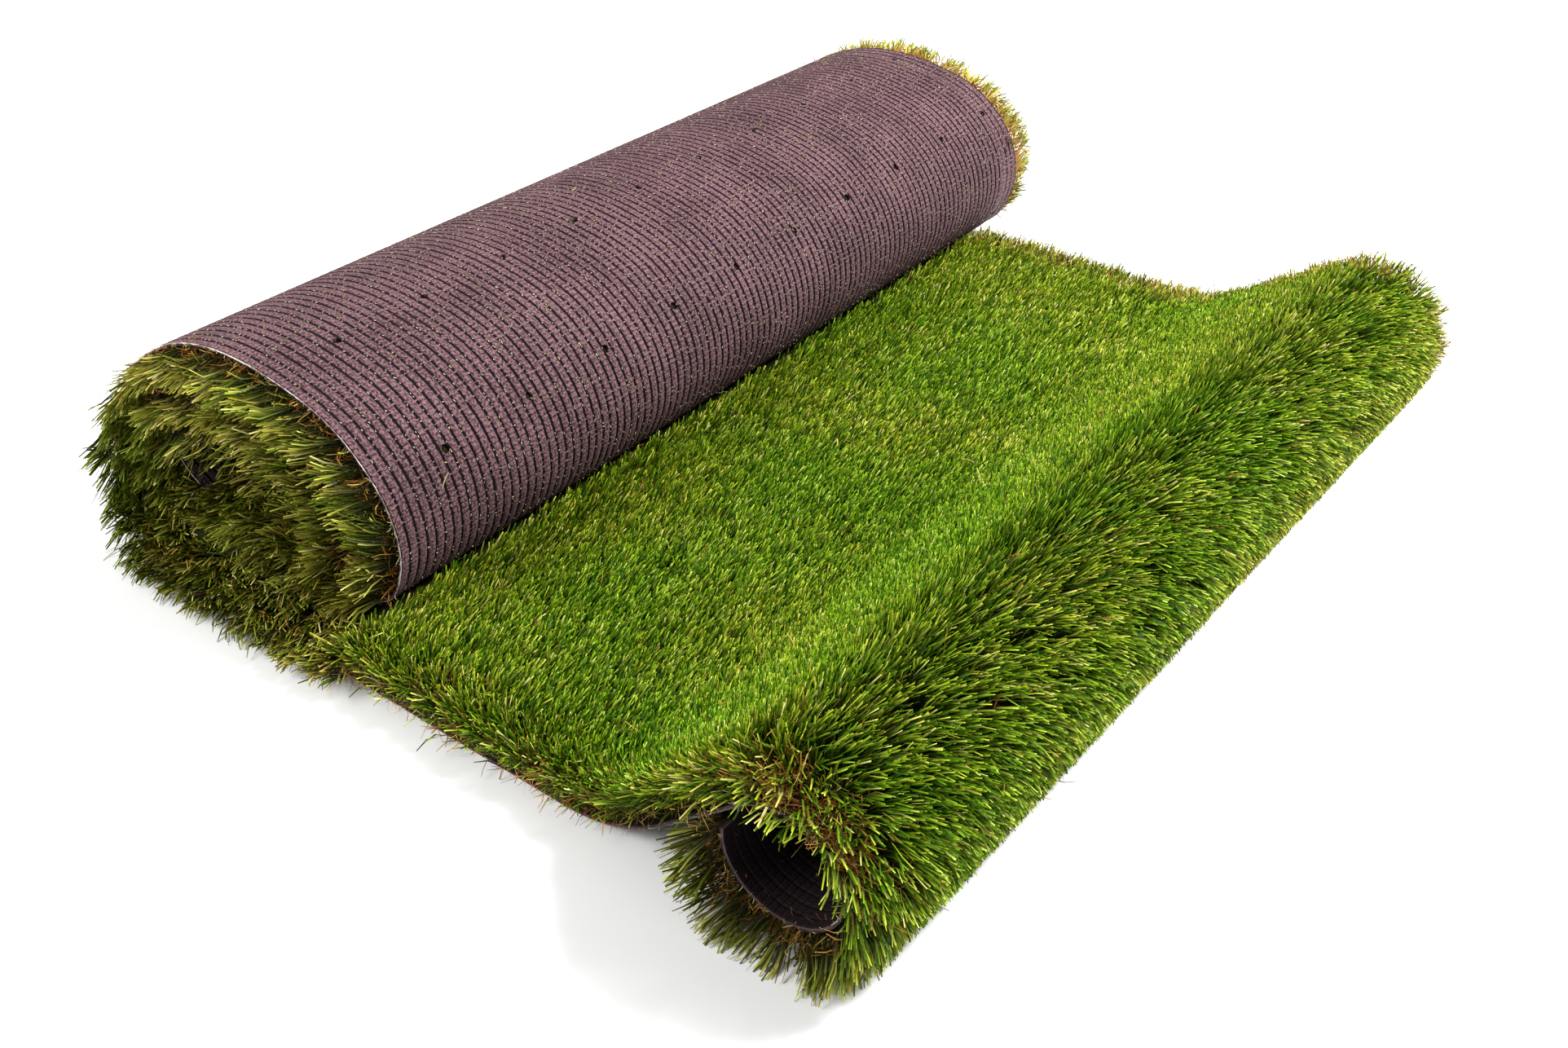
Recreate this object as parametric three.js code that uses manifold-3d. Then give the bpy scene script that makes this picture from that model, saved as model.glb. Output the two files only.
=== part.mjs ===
// A partly unrolled length of artificial grass: a tufted pile on a thin woven backing.
// Millimetres, +Z up. X is the way the sheet unrolls, Y runs along the roll.
// One path in the X-Z plane carries both layers. It starts at the inner cut end, winds outwards
// through the squashed roll, runs flat along the floor, climbs into a hump and curls under itself.

import * as THREE from 'three';
import * as BufferGeometryUtils from 'three/addons/utils/BufferGeometryUtils.js';
import Module from 'manifold-3d';

const wasm = await Module();
wasm.setup();

// The sheet
const sheetWidth = 1000;
const backingThickness = 3;
const pileHeight = 40;
const layerClearance = 0.3;

// The roll, squashed by its own weight, seen on its end
const rollWidth = 363;
const rollHeight = 220;
const rollTurns = 3;
const coreWidth = 120;
const coreHeight = 40;
const coreX = -15;
const coreZ = 86;
const innerEndTurn = 2.78;
const turnClearance = 0.5;
// The part of each turn, from its start at the bottom, where the sheet steps in by one layer
const stepStart = 0.81;
const stepEnd = 0.97;

// How far the flat part has slid along the roll's axis, and where it slides, in turns of the roll
const slideOffset = -60;
const slideStartTurn = 0.42;

// The free part at its near and far side edges
const near = { flatLength: 428, riseAngle: 42, riseRadius: 150, curlRadius: 49, curlLift: 18 };
const far = { flatLength: 465, riseAngle: 33, riseRadius: 150, curlRadius: 42, curlLift: 14 };
const curlSweep = 318;
// The steepest heading that the curl's pile stands square to. Past it the hump combs it down.
const combHeading = -230;

// How far the tips of the pile stand out past the side edges: at the roll, the flat part and the curl
const nearFlare = { roll: 30, flat: 12, curl: 34 };
const farFlare = { roll: 24, flat: 12, curl: 20 };
const flareDepth = 45;
const rollFlareTurn = 0.12;

// Drain holes punched through the backing
const holeDiameter = 8;
const holeColumns = 10;
const holeColumnPitch = 100;
const holeEdgeInset = 74;
const holeRowPitch = 140;
const holeRowStart = 50;
const holeRowSkew = 0.036;
const holeInnermostTurn = 0.86;
const holeEndMargin = 30;
const holeSides = 6;

// How finely the curves are cut into flats
const stationsPerTurn = 44;
const flatStations = 6;
const riseStations = 7;
const slopeStations = 3;
const curlStations = 36;

const degrees = Math.PI / 180;
const lerp = THREE.MathUtils.lerp;
const lerpPoint = (a, b, share) => ({ x: lerp(a.x, b.x, share), z: lerp(a.z, b.z, share) });

// The roll's outline as shares of its width and height, anticlockwise from its right side,
// one point for each sixteenth of a turn. The underside lies on the floor.
const outlineShares = [
  [0.559, 0.42], [0.529, 0.66], [0.394, 0.88], [0.180, 0.98], [0.0, 0.99], [-0.146, 0.94],
  [-0.275, 0.84], [-0.383, 0.68], [-0.441, 0.445], [-0.421, 0.21], [-0.336, 0.06], [-0.215, 0.0],
  [-0.070, 0.0], [0.212, 0.0], [0.416, 0.077], [0.504, 0.19],
];
const outline = new THREE.CatmullRomCurve3(
  outlineShares.map(([x, z]) => new THREE.Vector3(x * rollWidth, 0, z * rollHeight)), true, 'centripetal',
);
// Where the floor touches the outline, as a share of the way round it
const bottomShare = 0.75;

// The point where depth is 0 on the roll's outline and rollTurns on the edge of its core.
function rollPoint(angleShare, depth) {
  const share = ((angleShare % 1) + 1) % 1;
  const outer = outline.getPoint(share);
  const angle = share * 2 * Math.PI;
  const core = {
    x: coreX + (coreWidth / 2) * Math.cos(angle),
    z: coreZ + (coreHeight / 2) * Math.sin(angle),
  };
  const point = lerpPoint(outer, core, depth / rollTurns);
  return { x: point.x, z: Math.max(point.z, 0) };
}

// How many layers lie outside the sheet after it has wound inwards by a number of turns.
// Each turn keeps to its own ring and steps inwards as it passes over the layer under it.
function layerDepth(turns) {
  const whole = Math.floor(turns);
  return whole + THREE.MathUtils.smoothstep(turns - whole, stepStart, stepEnd);
}

// The underside of the sheet after it has wound inwards from the bottom of the roll.
function woundPoint(turns, extraDepth = 0) {
  return rollPoint(bottomShare - turns, layerDepth(turns) + extraDepth);
}

// Each station holds the sheet's underside, the top of its pile, its slide along the roll, and
// how far its flare has changed from the flat part's to the roll's or the curl's.
// The pile of a wound turn reaches the turn that lies inside it.
function rollStations() {
  const count = Math.round(innerEndTurn * stationsPerTurn);
  const stations = [];
  for (let step = count; step > 0; step -= 1) {
    const turns = step / stationsPerTurn;
    const under = woundPoint(turns);
    const inner = woundPoint(turns, 1);
    const spacing = Math.hypot(inner.x - under.x, inner.z - under.z);
    const slid = 1 - THREE.MathUtils.smoothstep(turns, 0, slideStartTurn);
    stations.push({
      under,
      top: lerpPoint(under, inner, 1 - turnClearance / spacing),
      slide: slideOffset * slid,
      turns,
      flare: { kind: 'roll', share: THREE.MathUtils.smoothstep(turns, 0, rollFlareTurn) },
    });
  }
  return stations;
}

// Under the roll, the pile of the flat part is pressed down by the turn that lies on it.
function pressedStations() {
  const freeTop = backingThickness + layerClearance + pileHeight;
  const stations = [];
  for (let step = stationsPerTurn; step > 0; step -= 1) {
    const above = woundPoint(step / stationsPerTurn);
    const top = above.z - turnClearance;
    if (top > freeTop) break;
    stations.push({
      under: { x: above.x, z: 0 },
      top: { x: above.x, z: top },
      slide: slideOffset,
      flare: { kind: 'roll', share: 0 },
    });
  }
  return stations;
}

// The free part: flat, then a rise, a slope and a curl that ends under the hump.
function freeStations(startX, side) {
  const rise = side.riseAngle * degrees;
  const points = [];
  for (let step = 1; step <= flatStations; step += 1) {
    points.push({ x: lerp(startX, side.flatLength, step / flatStations), z: 0, heading: 0 });
  }
  for (let step = 1; step <= riseStations; step += 1) {
    const heading = (rise * step) / riseStations;
    points.push({
      x: side.flatLength + side.riseRadius * Math.sin(heading),
      z: side.riseRadius * (1 - Math.cos(heading)),
      heading,
    });
  }
  const foot = points.at(-1);
  const centreZ = side.curlRadius + side.curlLift;
  const slope = (centreZ + side.curlRadius * Math.cos(rise) - foot.z) / Math.sin(rise);
  for (let step = 1; step <= slopeStations; step += 1) {
    const run = (slope * step) / slopeStations;
    points.push({ x: foot.x + run * Math.cos(rise), z: foot.z + run * Math.sin(rise), heading: rise });
  }
  const crest = points.at(-1);
  const centreX = crest.x + side.curlRadius * Math.sin(rise);
  for (let step = 1; step <= curlStations; step += 1) {
    const heading = rise - (curlSweep * degrees * step) / curlStations;
    points.push({
      x: centreX - side.curlRadius * Math.sin(heading),
      z: centreZ + side.curlRadius * Math.cos(heading),
      heading,
    });
  }
  const reach = backingThickness + layerClearance + pileHeight;
  return points.map((point) => {
    const combed = Math.max(point.heading, combHeading * degrees);
    return {
      under: { x: point.x, z: point.z },
      top: {
        x: point.x - reach * Math.sin(combed),
        z: Math.max(point.z + reach * Math.cos(combed), 0),
      },
      slide: slideOffset,
      flare: { kind: 'curl', share: point.heading < 0 ? 1 : point.heading / rise },
    };
  });
}

// The whole path at one place across the width, from the inner end to the free end.
function sheetSection(widthShare) {
  const side = {};
  for (const size of Object.keys(near)) side[size] = lerp(near[size], far[size], widthShare);
  const pressed = pressedStations();
  const stations = [...rollStations(), ...pressed, ...freeStations(pressed.at(-1).under.x, side)];
  return stations.map((station, index) => {
    const before = stations[Math.max(index - 1, 0)].under;
    const after = stations[Math.min(index + 1, stations.length - 1)].under;
    const run = Math.hypot(after.x - before.x, after.z - before.z);
    const normal = { x: -(after.z - before.z) / run, z: (after.x - before.x) / run };
    return { ...station, normal };
  });
}

// The rows of points across the width: both side edges, where their flares begin, and the middle
const widthShares = [0, flareDepth / sheetWidth, 0.5, 1 - flareDepth / sheetWidth, 1];
const sections = widthShares.map(sheetSection);

// How far the top of the pile is pushed along Y. Only the two side edges flare.
function flareOf(station, row) {
  const sideFlare = [nearFlare, farFlare][row / (sections.length - 1)];
  if (!sideFlare) return 0;
  const flare = lerp(sideFlare.flat, sideFlare[station.flare.kind], station.flare.share);
  return sideFlare === nearFlare ? -flare : flare;
}

function offsetPoint(station, distance) {
  return { x: station.under.x + station.normal.x * distance, z: station.under.z + station.normal.z * distance };
}

// A closed strip between two lines of each section, carried across the width of the sheet.
function stripGeometry(lowerLine, upperLine, upperFlare = () => 0) {
  const positions = [];
  const indices = [];
  const count = sections[0].length;
  const rowSize = count * 2;
  sections.forEach((section, row) => {
    const y = -sheetWidth / 2 + sheetWidth * widthShares[row];
    for (const [line, flare] of [[lowerLine, () => 0], [upperLine, upperFlare]]) {
      for (const station of section) {
        const point = line(station);
        positions.push(point.x, y + station.slide + flare(station, row), point.z);
      }
    }
  });
  const quad = (a, b, c, d) => indices.push(a, b, c, a, c, d);
  for (let row = 0; row < sections.length - 1; row += 1) {
    const low = row * rowSize;
    const high = low + count;
    for (let k = 0; k < count - 1; k += 1) {
      quad(low + k, low + rowSize + k, low + rowSize + k + 1, low + k + 1);
      quad(high + k, high + k + 1, high + rowSize + k + 1, high + rowSize + k);
    }
    quad(low, high, high + rowSize, low + rowSize);
    const last = count - 1;
    quad(low + last, low + rowSize + last, high + rowSize + last, high + last);
  }
  const farLow = (sections.length - 1) * rowSize;
  for (let k = 0; k < count - 1; k += 1) {
    quad(k, k + 1, count + k + 1, count + k);
    quad(farLow + k, farLow + count + k, farLow + count + k + 1, farLow + k + 1);
  }
  const geometry = new THREE.BufferGeometry();
  geometry.setAttribute('position', new THREE.Float32BufferAttribute(positions, 3));
  geometry.setIndex(indices);
  return geometry;
}

function toSolid(geometry) {
  const plain = geometry.clone();
  plain.deleteAttribute('normal');
  plain.deleteAttribute('uv');
  const merged = BufferGeometryUtils.mergeVertices(plain, 1e-4);
  return new wasm.Manifold(new wasm.Mesh({
    numProp: 3,
    vertProperties: new Float32Array(merged.attributes.position.array),
    triVerts: new Uint32Array(merged.index.array),
  }));
}

function toGeometry(solid) {
  const mesh = solid.getMesh();
  const geometry = new THREE.BufferGeometry();
  geometry.setAttribute('position', new THREE.BufferAttribute(new Float32Array(mesh.vertProperties), 3));
  geometry.setIndex(new THREE.BufferAttribute(new Uint32Array(mesh.triVerts), 1));
  return geometry;
}

// The place, direction and slide at a distance along the path, at one place across the width.
function pathAt(widthShare, distance) {
  const section = sheetSection(widthShare);
  let gone = 0;
  for (let k = 1; k < section.length; k += 1) {
    const a = section[k - 1];
    const b = section[k];
    const run = Math.hypot(b.under.x - a.under.x, b.under.z - a.under.z);
    if (gone + run >= distance) {
      const share = (distance - gone) / run;
      return {
        under: lerpPoint(a.under, b.under, share),
        normal: new THREE.Vector3(-(b.under.z - a.under.z) / run, 0, (b.under.x - a.under.x) / run),
        slide: lerp(a.slide, b.slide, share),
      };
    }
    gone += run;
  }
  return null;
}

function pathLengths(section) {
  const lengths = [0];
  for (let k = 1; k < section.length; k += 1) {
    const a = section[k - 1].under;
    const b = section[k].under;
    lengths.push(lengths[k - 1] + Math.hypot(b.x - a.x, b.z - a.z));
  }
  return lengths;
}

// The drain holes of the outer turn and of the free part, in rows across the sheet.
function drainHoleCutters() {
  const middle = sheetSection(0.5);
  const lengths = pathLengths(middle);
  const turnAt = (turns) => lengths[middle.findIndex((station) => station.turns <= turns)];
  const rowZero = turnAt(0.5) - holeRowStart;
  const innermost = turnAt(holeInnermostTurn);
  const outermost = lengths.at(-1) - holeEndMargin;
  const firstRow = Math.ceil((innermost - rowZero) / holeRowPitch);
  const lastRow = Math.floor((outermost - rowZero) / holeRowPitch);
  const cutter = new THREE.CylinderGeometry(holeDiameter / 2, holeDiameter / 2, backingThickness * 4, holeSides);
  const up = new THREE.Vector3(0, 1, 0);
  const cutters = [];
  for (let row = firstRow; row <= lastRow; row += 1) {
    for (let column = 0; column < holeColumns; column += 1) {
      const y = -sheetWidth / 2 + holeEdgeInset + column * holeColumnPitch;
      const place = pathAt(0.5 + y / sheetWidth, rowZero + row * holeRowPitch + y * holeRowSkew);
      if (!place || y > sheetWidth / 2 - holeDiameter) continue;
      const turned = cutter.clone().applyQuaternion(new THREE.Quaternion().setFromUnitVectors(up, place.normal));
      turned.translate(place.under.x, y + place.slide, place.under.z);
      cutters.push(toSolid(turned));
    }
  }
  return wasm.Manifold.compose(cutters);
}

function backingSheet() {
  const sheet = stripGeometry((station) => station.under, (station) => offsetPoint(station, backingThickness));
  const material = new THREE.MeshStandardMaterial({ color: 0x5a4650, roughness: 0.9, metalness: 0 });
  const mesh = new THREE.Mesh(toGeometry(toSolid(sheet).subtract(drainHoleCutters())), material);
  mesh.name = 'backing_sheet';
  return mesh;
}

function grassPile() {
  const pile = stripGeometry(
    (station) => offsetPoint(station, backingThickness + layerClearance),
    (station) => station.top,
    flareOf,
  );
  const material = new THREE.MeshStandardMaterial({ color: 0x5f8f1f, roughness: 0.8, metalness: 0 });
  const mesh = new THREE.Mesh(pile, material);
  mesh.name = 'grass_pile';
  return mesh;
}

// The origin is on the floor at the middle of the whole object.
const part = new THREE.Group();
part.add(backingSheet(), grassPile());
const size = new THREE.Box3().setFromObject(part);
part.position.set(-(size.min.x + size.max.x) / 2, -(size.min.y + size.max.y) / 2, -size.min.z);

export default part;
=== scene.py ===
"""A partly unrolled length of artificial grass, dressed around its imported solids.

The sheet follows one path in the X-Z plane: it winds out of the squashed roll, runs flat along
the floor, climbs into a hump and curls under itself. Its woven backing, its pile of blades, the
thatch at its cut edges and the loose threads are all made on that path, in metres.
"""

import logging
import math
from dataclasses import dataclass, field, replace
from enum import Enum

import bmesh
import bpy
import numpy as np
from mathutils import Matrix, Vector

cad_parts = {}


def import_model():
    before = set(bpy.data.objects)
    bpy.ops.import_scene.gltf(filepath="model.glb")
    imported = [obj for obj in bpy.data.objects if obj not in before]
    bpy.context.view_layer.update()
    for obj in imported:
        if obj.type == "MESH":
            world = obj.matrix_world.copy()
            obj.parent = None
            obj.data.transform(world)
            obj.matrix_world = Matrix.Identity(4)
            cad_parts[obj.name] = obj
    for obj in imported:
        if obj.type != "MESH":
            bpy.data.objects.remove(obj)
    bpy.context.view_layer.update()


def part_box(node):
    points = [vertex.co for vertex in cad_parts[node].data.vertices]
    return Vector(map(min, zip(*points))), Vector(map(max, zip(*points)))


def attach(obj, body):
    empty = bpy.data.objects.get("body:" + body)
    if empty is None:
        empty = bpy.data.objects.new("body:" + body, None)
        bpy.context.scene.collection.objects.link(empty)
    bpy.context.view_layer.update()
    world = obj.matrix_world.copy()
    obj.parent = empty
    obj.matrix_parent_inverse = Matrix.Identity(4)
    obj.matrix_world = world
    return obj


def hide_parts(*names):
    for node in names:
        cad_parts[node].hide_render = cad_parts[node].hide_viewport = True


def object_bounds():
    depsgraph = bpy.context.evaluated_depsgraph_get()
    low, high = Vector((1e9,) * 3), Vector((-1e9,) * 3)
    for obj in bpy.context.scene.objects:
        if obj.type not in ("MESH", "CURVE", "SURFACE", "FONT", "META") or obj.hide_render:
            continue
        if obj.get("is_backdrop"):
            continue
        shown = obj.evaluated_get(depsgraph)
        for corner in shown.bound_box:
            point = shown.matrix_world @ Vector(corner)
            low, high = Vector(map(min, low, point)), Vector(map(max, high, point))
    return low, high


log = logging.getLogger("grass_roll")

BODY = "root"
BACKING_NODE = "backing_sheet"
PILE_NODE = "grass_pile"
FLOOR_GAP = 0.0005
TURN = 2 * math.pi
ACROSS = np.array([[0.0, 1.0, 0.0]])
UPWARD = np.array([[0.0, 0.0, 1.0]])

Colour = tuple[float, float, float]
Stops = tuple[tuple[float, Colour], ...]
Faces = tuple[tuple[int, ...], ...]


class Slot(Enum):
    """The record's material slots."""

    BACKING = "backing"
    PILE = "pile"


class End(Enum):
    """A side edge of the sheet, with the way it faces along Y."""

    NEAR = -1.0
    FAR = 1.0


def smoothstep(value: np.ndarray, low: float, high: float) -> np.ndarray:
    """Returns 0 below low, 1 above high and a smooth rise between them."""
    share = np.clip((value - low) / (high - low), 0.0, 1.0)
    return share * share * (3.0 - 2.0 * share)


def unit(vectors: np.ndarray) -> np.ndarray:
    """Returns the vectors of an array at length 1."""
    return vectors / np.maximum(np.linalg.norm(vectors, axis=-1, keepdims=True), 1e-9)


def dots(first: np.ndarray, second: np.ndarray) -> np.ndarray:
    """Returns the dot product of each pair of vectors, as a column."""
    return (first * second).sum(axis=-1, keepdims=True)


@dataclass(frozen=True)
class SheetSizes:
    """The sheet before it is rolled."""

    width: float = 1.0
    backing: float = 0.003
    pile: float = 0.040
    clearance: float = 0.0003
    stitch_pitch: float = 0.0097
    flare_depth: float = 0.045

    @property
    def foot(self) -> float:
        """The height of the pile's foot over the sheet's underside."""
        return self.backing + self.clearance


@dataclass(frozen=True)
class RollSizes:
    """The squashed roll, seen on its end."""

    width: float = 0.363
    height: float = 0.220
    turns: float = 3.0
    core_width: float = 0.120
    core_height: float = 0.040
    core_x: float = -0.015
    core_z: float = 0.086
    inner_end_turn: float = 2.78
    turn_clearance: float = 0.0005
    step_start: float = 0.81
    step_end: float = 0.97
    slide: float = -0.060
    slide_start_turn: float = 0.42
    bottom_share: float = 0.75
    outline: tuple[tuple[float, float], ...] = (
        (0.559, 0.42), (0.529, 0.66), (0.394, 0.88), (0.180, 0.98),
        (0.0, 0.99), (-0.146, 0.94), (-0.275, 0.84), (-0.383, 0.68),
        (-0.441, 0.445), (-0.421, 0.21), (-0.336, 0.06), (-0.215, 0.0),
        (-0.070, 0.0), (0.212, 0.0), (0.416, 0.077), (0.504, 0.19),
    )


@dataclass(frozen=True)
class FreeSizes:
    """The free part at one side edge of the sheet."""

    flat_length: float
    rise_angle: float
    rise_radius: float
    curl_radius: float
    curl_lift: float

    def mixed(self, other: "FreeSizes", share: float) -> "FreeSizes":
        """Returns the sizes at a share of the way across to the other edge."""
        names = ("flat_length", "rise_angle", "rise_radius", "curl_radius", "curl_lift")
        return FreeSizes(*((1 - share) * getattr(self, n) + share * getattr(other, n) for n in names))


NEAR_FREE = FreeSizes(0.428, math.radians(42), 0.150, 0.049, 0.018)
FAR_FREE = FreeSizes(0.465, math.radians(33), 0.150, 0.042, 0.014)
CURL_SWEEP = math.radians(318)
COMB_HEADING = math.radians(-230)


@dataclass
class Places:
    """Where points of the sheet lie: one row for each point."""

    across: np.ndarray
    under: np.ndarray
    normal: np.ndarray
    pile: np.ndarray
    along: np.ndarray
    reach: np.ndarray
    stage: np.ndarray


class SheetPath:
    """The bent path of the sheet, worked out at five places across its width.

    A place on the sheet is a length from the inner cut end, and a distance from the near edge.
    Stages count the parts of the path: -2 the inner cut end, -1 where the roll lets go of the
    flat part, 0 the foot of the rise, 1 its end, 2 the start of the curl and 3 the free cut end.
    """

    STATIONS_PER_TURN = 132
    FLAT_STATIONS = 40
    RISE_STATIONS = 24
    SLOPE_STATIONS = 8
    CURL_STATIONS = 72
    STAGES = (-2.0, -1.0, 0.0, 1.0, 2.0, 3.0)

    def __init__(self, sheet: SheetSizes, roll: RollSizes) -> None:
        """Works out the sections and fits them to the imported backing.

        Args:
            sheet: the sheet's sizes.
            roll: the roll's sizes.
        """
        self.sheet = sheet
        self.roll = roll
        edge = sheet.flare_depth / sheet.width
        self.shares = np.array([0.0, edge, 0.5, 1 - edge, 1.0])
        sections = [self._section(share) for share in self.shares]
        self.under = np.stack([s[0] for s in sections])
        self.top = np.stack([s[1] for s in sections])
        self.slide = sections[0][2]
        low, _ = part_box(BACKING_NODE)
        shift = np.array([low.x - self.under[..., 0].min(), 0.0])
        self.near_y = low.y - self.slide.min()
        self.under += shift
        self.top += shift
        self.ahead = unit(np.gradient(self.under, axis=1))
        self.normal = np.stack([-self.ahead[..., 1], self.ahead[..., 0]], axis=-1)
        steps = np.linalg.norm(np.diff(self.under, axis=1), axis=-1).mean(axis=0)
        self.lengths = np.concatenate([[0.0], np.cumsum(steps)])

    def _roll_point(self, share: np.ndarray, depth: np.ndarray) -> np.ndarray:
        """Returns the point of the roll at a share of a turn and a depth in layers."""
        corners = np.array(self.roll.outline) * (self.roll.width, self.roll.height)
        count = len(corners)
        place = np.mod(share, 1.0) * count
        first = np.floor(place).astype(int)
        part = (place - first)[:, None]
        p0, p1, p2, p3 = (corners[(first + step) % count] for step in (-1, 0, 1, 2))
        d0, d1, d2 = (
            np.sqrt(np.linalg.norm(b - a, axis=1))[:, None] for a, b in ((p0, p1), (p1, p2), (p2, p3))
        )
        leave = ((p1 - p0) / d0 - (p2 - p0) / (d0 + d1) + (p2 - p1) / d1) * d1
        arrive = ((p2 - p1) / d1 - (p3 - p1) / (d1 + d2) + (p3 - p2) / d2) * d1
        square = -3 * p1 + 3 * p2 - 2 * leave - arrive
        cube = 2 * p1 - 2 * p2 + leave + arrive
        outer = p1 + leave * part + square * part**2 + cube * part**3
        angle = np.mod(share, 1.0) * TURN
        core = np.stack(
            [
                self.roll.core_x + self.roll.core_width / 2 * np.cos(angle),
                self.roll.core_z + self.roll.core_height / 2 * np.sin(angle),
            ],
            axis=1,
        )
        point = outer + (core - outer) * (depth / self.roll.turns)[:, None]
        point[:, 1] = np.maximum(point[:, 1], 0.0)
        return point

    def _wound(self, turns: np.ndarray, extra: float = 0.0) -> np.ndarray:
        """Returns the sheet's underside after it has wound inwards by a number of turns."""
        whole = np.floor(turns)
        depth = whole + smoothstep(turns - whole, self.roll.step_start, self.roll.step_end)
        return self._roll_point(self.roll.bottom_share - turns, depth + extra)

    def _section(self, share: float) -> tuple[np.ndarray, np.ndarray, np.ndarray]:
        """Works out the path at one place across the width.

        Args:
            share: 0 at the near edge, 1 at the far edge.

        Returns:
            The underside, the top of the pile, and the slide along the roll.
        """
        roll = self.roll
        count = round(roll.inner_end_turn * self.STATIONS_PER_TURN)
        turns = np.arange(count, 0, -1) / self.STATIONS_PER_TURN
        under = self._wound(turns)
        inner = self._wound(turns, 1.0)
        spacing = np.linalg.norm(inner - under, axis=1)[:, None]
        top = under + (inner - under) * (1 - roll.turn_clearance / spacing)
        slide = roll.slide * (1 - smoothstep(turns, 0.0, roll.slide_start_turn))

        above = self._wound(np.arange(self.STATIONS_PER_TURN, 0, -1) / self.STATIONS_PER_TURN)
        free_top = self.sheet.foot + self.sheet.pile
        pressed_count = int(np.argmax(above[:, 1] - roll.turn_clearance > free_top))
        above = above[:pressed_count]
        pressed_under = np.stack([above[:, 0], np.zeros(pressed_count)], axis=1)
        pressed_top = above - (0.0, roll.turn_clearance)

        free_under, free_top_line = self._free(pressed_under[-1, 0], NEAR_FREE.mixed(FAR_FREE, share))
        self.nip = count + pressed_count
        self.wound_count = count
        free_slide = np.full(pressed_count + len(free_under), roll.slide)
        return (
            np.concatenate([under, pressed_under, free_under]),
            np.concatenate([top, pressed_top, free_top_line]),
            np.concatenate([slide, free_slide]),
        )

    def _free(self, start_x: float, side: FreeSizes) -> tuple[np.ndarray, np.ndarray]:
        """Works out the flat, the rise, the slope and the curl.

        Args:
            start_x: where the roll lets go of the flat part.
            side: the sizes at this place across the width.

        Returns:
            The underside and the top of the pile.
        """
        def shares(steps: int) -> np.ndarray:
            return np.arange(1, steps + 1) / steps

        flat = shares(self.FLAT_STATIONS)
        flat_x = start_x + (side.flat_length - start_x) * flat
        flat_line = np.stack([flat_x, np.zeros_like(flat), np.zeros_like(flat)], axis=1)
        heading = side.rise_angle * shares(self.RISE_STATIONS)
        rise_line = np.stack(
            [
                side.flat_length + side.rise_radius * np.sin(heading),
                side.rise_radius * (1 - np.cos(heading)),
                heading,
            ],
            axis=1,
        )
        foot = rise_line[-1]
        rise = side.rise_angle
        centre_z = side.curl_radius + side.curl_lift
        slope = (centre_z + side.curl_radius * math.cos(rise) - foot[1]) / math.sin(rise)
        run = slope * shares(self.SLOPE_STATIONS)
        slope_line = np.stack(
            [foot[0] + run * math.cos(rise), foot[1] + run * math.sin(rise), np.full_like(run, rise)], axis=1
        )
        centre_x = slope_line[-1, 0] + side.curl_radius * math.sin(rise)
        curl_heading = rise - CURL_SWEEP * shares(self.CURL_STATIONS)
        curl_line = np.stack(
            [
                centre_x - side.curl_radius * np.sin(curl_heading),
                centre_z + side.curl_radius * np.cos(curl_heading),
                curl_heading,
            ],
            axis=1,
        )
        line = np.concatenate([flat_line, rise_line, slope_line, curl_line])
        combed = np.maximum(line[:, 2], COMB_HEADING)
        reach = self.sheet.foot + self.sheet.pile
        top = np.stack([line[:, 0] - reach * np.sin(combed), line[:, 1] + reach * np.cos(combed)], axis=1)
        top[:, 1] = np.maximum(top[:, 1], 0.0)
        return line[:, :2], top

    @property
    def last(self) -> int:
        """The station of the free cut end."""
        return len(self.lengths) - 1

    @property
    def whole_length(self) -> float:
        """The length of the sheet."""
        return float(self.lengths[-1])

    def stage_stations(self) -> np.ndarray:
        """Returns the stations where the stages begin."""
        rise = self.nip + self.FLAT_STATIONS
        slope = rise + self.RISE_STATIONS
        crest = slope + self.SLOPE_STATIONS
        return np.array([0, self.nip, rise, slope, crest, self.last], float)

    def length_of(self, station: float) -> float:
        """Returns the length along the sheet from its inner end to a station."""
        return float(np.interp(station, np.arange(self.last + 1), self.lengths))

    def stage_length(self, stage: float) -> float:
        """Returns the length along the sheet from its inner end to a stage."""
        return self.length_of(float(np.interp(stage, self.STAGES, self.stage_stations())))

    def places(self, length: np.ndarray, across: np.ndarray) -> Places:
        """Finds where points of the sheet lie.

        Args:
            length: how far each point is from the inner cut end, along the sheet.
            across: how far each point is from the near edge, across the sheet.

        Returns:
            Their underside points, directions, pile heights and stages.
        """
        station = np.interp(length, self.lengths, np.arange(self.last + 1))
        low = np.clip(np.floor(station).astype(int), 0, self.last - 1)
        part = (station - low)[:, None]
        share = np.clip(across / self.sheet.width, 0.0, 1.0)
        row = np.clip(np.searchsorted(self.shares, share, side="right") - 1, 0, len(self.shares) - 2)
        side = ((share - self.shares[row]) / (self.shares[row + 1] - self.shares[row]))[:, None]

        def mixed(table: np.ndarray) -> np.ndarray:
            near = table[row, low] * (1 - part) + table[row, low + 1] * part
            far = table[row + 1, low] * (1 - part) + table[row + 1, low + 1] * part
            return near * (1 - side) + far * side

        def standing(flat: np.ndarray) -> np.ndarray:
            return np.stack([flat[:, 0], np.zeros(len(flat)), flat[:, 1]], axis=1)

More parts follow.
